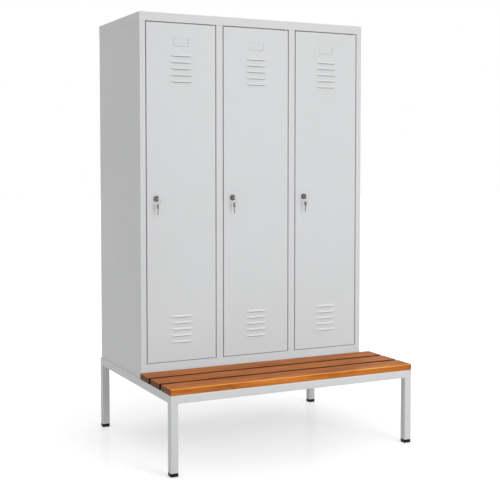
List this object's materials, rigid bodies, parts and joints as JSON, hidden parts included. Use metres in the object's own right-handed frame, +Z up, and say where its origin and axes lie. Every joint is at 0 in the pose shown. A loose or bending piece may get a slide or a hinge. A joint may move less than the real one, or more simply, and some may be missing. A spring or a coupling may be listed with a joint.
{
  "type": "clothes locker with bench",
  "caption": "Sheet-steel clothes locker with louvred, key-locked doors, standing on a square-tube bench frame with varnished wooden seat slats in front.",
  "frame": {"origin": "on the floor under the middle of the bench frame", "axes": "+Z up, the doors face -Y, +X to the right of a person who faces the doors"},
  "size_m": [1.2, 0.925, 1.96],
  "materials": {
    "painted_steel": "satin light grey powder coat",
    "varnished_wood": "clear satin varnish",
    "foot_plastic": "matt",
    "zinc_steel": "zinc plated",
    "lock_metal": "nickel plated",
    "key_metal": "nickel plated"
  },
  "bodies": {
    "frame": {"leg_front_left": "painted_steel", "foot_front_left": "foot_plastic", "leg_front_right": "painted_steel", "foot_front_right": "foot_plastic", "leg_rear_left": "painted_steel", "foot_rear_left": "foot_plastic", "leg_rear_right": "painted_steel", "foot_rear_right": "foot_plastic", "front_rail": "painted_steel", "rear_rail": "painted_steel", "left_rail": "painted_steel", "right_rail": "painted_steel", "cross_rail": "painted_steel", "slat_bearer": "painted_steel", "slat_front": "varnished_wood", "slat_middle": "varnished_wood", "slat_rear": "varnished_wood", "side_left": "painted_steel", "side_right": "painted_steel", "stile_left": "painted_steel", "stile_right": "painted_steel", "divider_1": "painted_steel", "divider_2": "painted_steel", "mullion_1": "painted_steel", "mullion_2": "painted_steel", "top_panel": "painted_steel", "header": "painted_steel", "floor_panel": "painted_steel", "back_panel": "painted_steel", "hat_shelf_1": "painted_steel", "hat_shelf_2": "painted_steel", "hat_shelf_3": "painted_steel", "coat_rails": "zinc_steel"},
    "door_1": {"door_1": "painted_steel", "door_stiffener_1": "painted_steel", "hinge_pins_1": "zinc_steel", "lock_housing_1": "lock_metal"},
    "lock_1": {"lock_plug_1": "lock_metal", "lock_cam_1": "zinc_steel", "key_1": "key_metal"},
    "spare_key_1": {"key_ring_1": "key_metal", "spare_key_1": "key_metal"},
    "door_2": {"door_2": "painted_steel", "door_stiffener_2": "painted_steel", "hinge_pins_2": "zinc_steel", "lock_housing_2": "lock_metal"},
    "lock_2": {"lock_plug_2": "lock_metal", "lock_cam_2": "zinc_steel", "key_2": "key_metal"},
    "spare_key_2": {"key_ring_2": "key_metal", "spare_key_2": "key_metal"},
    "door_3": {"door_3": "painted_steel", "door_stiffener_3": "painted_steel", "hinge_pins_3": "zinc_steel", "lock_housing_3": "lock_metal"},
    "lock_3": {"lock_plug_3": "lock_metal", "lock_cam_3": "zinc_steel", "key_3": "key_metal"},
    "spare_key_3": {"key_ring_3": "key_metal", "spare_key_3": "key_metal"}
  },
  "joints": [
    {"name": "door_1_hinge", "type": "hinge", "parent": "frame", "child": "door_1", "pos_m": [-0.23733, -0.0925, 0.409], "axis": [0, 0, 1], "range_deg": [0, 100]},
    {"name": "lock_1_turn", "type": "hinge", "parent": "door_1", "child": "lock_1", "pos_m": [-0.518, -0.0975, 1.14], "axis": [0, 1, 0], "range_deg": [0, 90]},
    {"name": "spare_key_1_swing", "type": "hinge", "parent": "lock_1", "child": "spare_key_1", "pos_m": [-0.518, -0.1185, 1.1386], "axis": [-1, 0, 0], "range_deg": [-8, 35]},
    {"name": "door_2_hinge", "type": "hinge", "parent": "frame", "child": "door_2", "pos_m": [0.13633, -0.0925, 0.409], "axis": [0, 0, 1], "range_deg": [0, 100]},
    {"name": "lock_2_turn", "type": "hinge", "parent": "door_2", "child": "lock_2", "pos_m": [-0.14433, -0.0975, 1.14], "axis": [0, 1, 0], "range_deg": [0, 90]},
    {"name": "spare_key_2_swing", "type": "hinge", "parent": "lock_2", "child": "spare_key_2", "pos_m": [-0.14433, -0.1185, 1.1386], "axis": [-1, 0, 0], "range_deg": [-8, 35]},
    {"name": "door_3_hinge", "type": "hinge", "parent": "frame", "child": "door_3", "pos_m": [0.51, -0.0925, 0.409], "axis": [0, 0, 1], "range_deg": [0, 100]},
    {"name": "lock_3_turn", "type": "hinge", "parent": "door_3", "child": "lock_3", "pos_m": [0.22933, -0.0975, 1.14], "axis": [0, 1, 0], "range_deg": [0, 90]},
    {"name": "spare_key_3_swing", "type": "hinge", "parent": "lock_3", "child": "spare_key_3", "pos_m": [0.22933, -0.1185, 1.1386], "axis": [-1, 0, 0], "range_deg": [-8, 35]}
  ]
}
